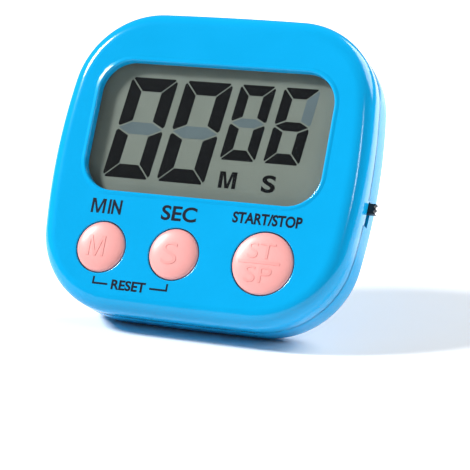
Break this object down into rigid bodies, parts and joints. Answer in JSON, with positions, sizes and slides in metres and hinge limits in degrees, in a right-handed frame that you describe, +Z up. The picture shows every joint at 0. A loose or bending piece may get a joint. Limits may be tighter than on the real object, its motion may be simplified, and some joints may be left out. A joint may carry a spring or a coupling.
{
  "type": "digital kitchen timer",
  "caption": "Digital countdown timer: rounded case, slanted display window, domed push buttons, side slide switch and a folding rear stand with a bar magnet.",
  "frame": {"origin": "middle of the footprint, on the surface the timer stands on, with its stand open", "axes": "+X to the right across the face, +Y to the rear, +Z up; the face looks to -Y and leans back 29 degrees"},
  "size_m": [0.0796, 0.0478, 0.0699],
  "materials": {
    "blue_plastic": "bright blue moulded ABS, semi-gloss",
    "clear_lens": "clear acrylic, polished",
    "pink_plastic": "pink moulded ABS, satin",
    "polarizer": "grey-green film",
    "display_glass": "thin float glass",
    "reflector": "silvered grey-green film",
    "white_plastic": "white ABS",
    "dark_rubber": "striped connector rubber",
    "silicone": "milky silicone",
    "carbon": "carbon-filled rubber",
    "board": "green solder mask on laminate",
    "black_resin": "black potting resin",
    "chip_resistor": "black ceramic chip",
    "chip_capacitor": "tan ceramic chip",
    "plated_steel": "nickel-plated steel",
    "screw_steel": "zinc-plated steel",
    "black_plastic": "black acetal",
    "phenolic": "brown phenolic",
    "brass": "thin brass disc",
    "white_ceramic": "piezo ceramic",
    "cell_film": "plain dark shrink film",
    "red_wire": "red PVC",
    "black_wire": "black PVC",
    "blue_wire": "blue PVC",
    "magnet": "dark sintered ferrite"
  },
  "bodies": {
    "case": {"front_case": "blue_plastic", "rear_case": "blue_plastic", "window_lens": "clear_lens", "lcd_front_polarizer": "polarizer", "lcd_front_glass": "display_glass", "lcd_rear_glass": "display_glass", "lcd_reflector": "reflector", "lcd_frame": "white_plastic", "zebra_strip": "dark_rubber", "min_dome": "silicone", "sec_dome": "silicone", "start_stop_dome": "silicone", "main_board": "board", "controller_blob": "black_resin", "crystal_can": "plated_steel", "resistor_left": "chip_resistor", "resistor_right": "chip_resistor", "capacitor_left": "chip_capacitor", "capacitor_right": "chip_capacitor", "switch_shell": "plated_steel", "switch_base": "phenolic", "piezo_plate": "brass", "piezo_ceramic": "white_ceramic", "cell_can": "plated_steel", "cell_sleeve": "cell_film", "cell_spring": "plated_steel", "negative_plate": "plated_steel", "positive_plate": "plated_steel", "positive_wire": "red_wire", "negative_wire": "black_wire", "piezo_wire_inner": "red_wire", "piezo_wire_outer": "blue_wire", "kickstand_pin": "plated_steel", "case_screw_top_left": "screw_steel", "case_screw_top_right": "screw_steel", "case_screw_low_left": "screw_steel", "case_screw_low_right": "screw_steel", "board_screw_top_left": "screw_steel", "board_screw_top_right": "screw_steel", "board_screw_low": "screw_steel"},
    "minute_button": {"min_button": "pink_plastic", "min_contact": "carbon"},
    "second_button": {"sec_button": "pink_plastic", "sec_contact": "carbon"},
    "start_button": {"start_stop_button": "pink_plastic", "start_stop_contact": "carbon"},
    "side_switch": {"switch_lever": "black_plastic"},
    "stand": {"kickstand": "blue_plastic", "magnet": "magnet"},
    "door": {"battery_door": "blue_plastic"}
  },
  "joints": [
    {"name": "min_press", "type": "slide", "parent": "case", "child": "minute_button", "axis": [0, 0.8746, -0.4848], "range_m": [0, 0.0008], "stiffness_N_per_m": 600, "deforming": ["min_dome"]},
    {"name": "sec_press", "type": "slide", "parent": "case", "child": "second_button", "axis": [0, 0.8746, -0.4848], "range_m": [0, 0.0008], "stiffness_N_per_m": 600, "deforming": ["sec_dome"]},
    {"name": "start_stop_press", "type": "slide", "parent": "case", "child": "start_button", "axis": [0, 0.8746, -0.4848], "range_m": [0, 0.0008], "stiffness_N_per_m": 600, "deforming": ["start_stop_dome"]},
    {"name": "power_slide", "type": "slide", "parent": "case", "child": "side_switch", "axis": [0, -0.4848, -0.8746], "range_m": [0, 0.0028]},
    {"name": "stand_fold", "type": "hinge", "parent": "case", "child": "stand", "pos_m": [-0.0008, 0.00385, 0.02691], "axis": [1, 0, 0], "range_deg": [-50.76, 0]},
    {"name": "door_tilt", "type": "hinge", "parent": "case", "child": "door", "pos_m": [-0.0008, 0.00945, 0.0337], "axis": [-1, 0, 0], "range_deg": [0, 50]}
  ]
}
